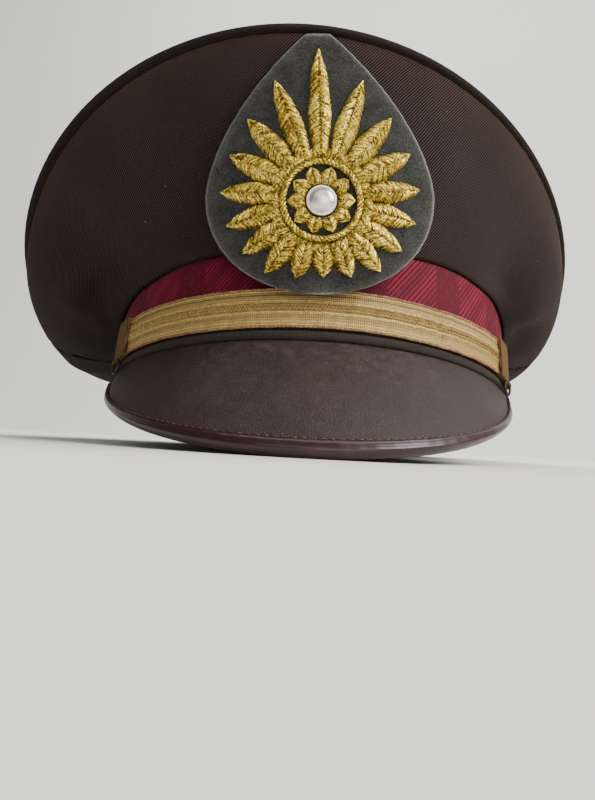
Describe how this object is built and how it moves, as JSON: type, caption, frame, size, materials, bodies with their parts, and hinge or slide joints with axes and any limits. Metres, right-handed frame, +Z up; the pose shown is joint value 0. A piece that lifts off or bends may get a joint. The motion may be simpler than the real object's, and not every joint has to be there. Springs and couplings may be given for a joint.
{
  "type": "police cap",
  "caption": "Peaked uniform cap with a high front, maroon band, gold lace strap, stiff bound peak and an embroidered teardrop felt badge.",
  "frame": {"origin": "middle of the bounding box on the surface that the cap stands on", "axes": "+Z up from that surface, -Y to the cap's front, +X to the right seen from the front"},
  "size_m": [0.2438, 0.279, 0.1399],
  "materials": {
    "cloth": "brown wool gabardine with a fine diagonal rib, dull",
    "piping_cloth": "brown cloth over a cord, dull",
    "ribbon_cloth": "maroon figured ribbon with diagonal ribs, soft sheen",
    "gold_lace": "flat woven gold lace with paler lines and a zig-zag mesh",
    "slide_cloth": "plain tan webbing",
    "dark_metal": "small blackened wire, satin",
    "peak_vinyl": "matt brown peak covering with dusty wear",
    "binding_vinyl": "glossy purple-brown folded edge",
    "felt": "dark grey felt with a paler cut edge",
    "gold_thread": "raised bullion embroidery in bright gold thread",
    "white_metal": "plain domed white metal, satin"
  },
  "bodies": {
    "root": {"cap_band": "cloth", "band_ribbon": "ribbon_cloth", "lower_welt": "cloth", "crown_front": "cloth", "crown_rear": "cloth", "crown_piping": "piping_cloth", "crown_top": "cloth", "peak": "peak_vinyl", "peak_binding": "binding_vinyl", "strap_lace_long": "gold_lace", "strap_lace_short": "gold_lace", "badge_felt": "felt", "emblem_burst": "gold_thread", "emblem_rope": "gold_thread", "emblem_rosette": "gold_thread", "emblem_boss": "white_metal", "strap_slide_right": "slide_cloth", "strap_tab_right": "slide_cloth", "strap_loop_right": "dark_metal", "strap_slide_left": "slide_cloth", "strap_tab_left": "slide_cloth", "strap_loop_left": "dark_metal"}
  },
  "joints": []
}
